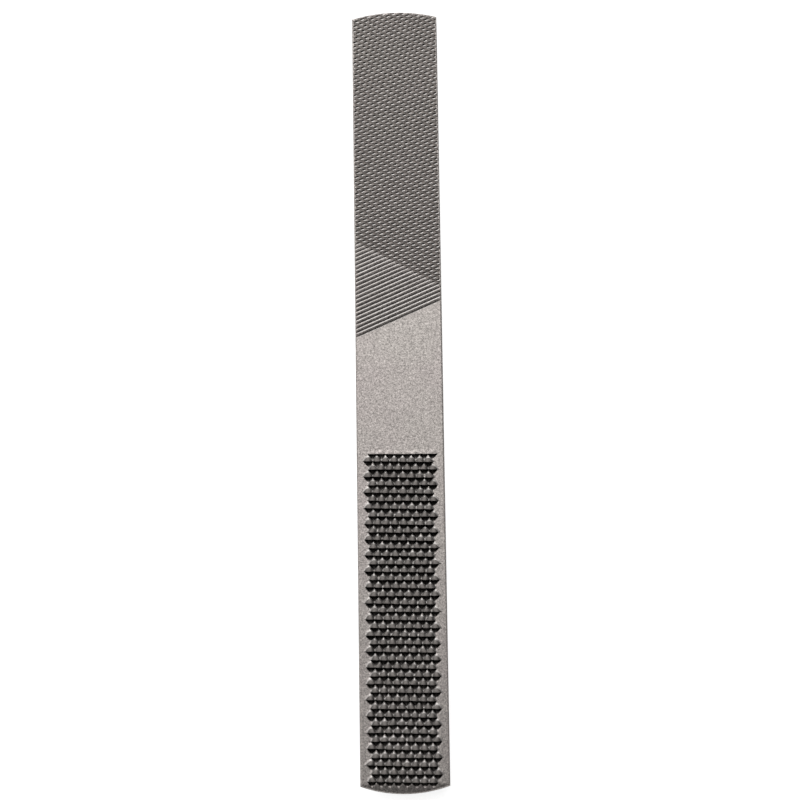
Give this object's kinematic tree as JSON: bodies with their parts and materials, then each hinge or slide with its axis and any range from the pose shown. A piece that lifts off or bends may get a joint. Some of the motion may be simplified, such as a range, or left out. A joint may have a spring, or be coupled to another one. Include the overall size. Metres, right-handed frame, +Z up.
{
  "type": "wood rasp",
  "caption": "Flat and half-round wood rasp and file in one steel bar, each side rasped at one end and filed at the other, with a smooth grip between and no handle.",
  "frame": {"origin": "under the middle of the box, in the plane of the lowest tooth tips of the half-round back", "axes": "+Z up out of the flat face, +Y along the bar towards the end whose flat face is filed, +X across the bar"},
  "size_m": [0.0222, 0.2026, 0.0076],
  "materials": {
    "bar_steel": "hardened tool steel with a fine blasted satin grain, uncoated",
    "file_cut_steel": "hardened tool steel, chisel-cut file teeth, satin, a little darker in the cuts",
    "rasp_cut_steel": "hardened tool steel, punched rasp teeth, satin, darker in the pits"
  },
  "bodies": {
    "root": {"steel_bar": "bar_steel", "flat_file_teeth": "file_cut_steel", "flat_rasp_teeth": "rasp_cut_steel", "round_file_teeth": "file_cut_steel", "round_rasp_teeth": "rasp_cut_steel"}
  },
  "joints": []
}
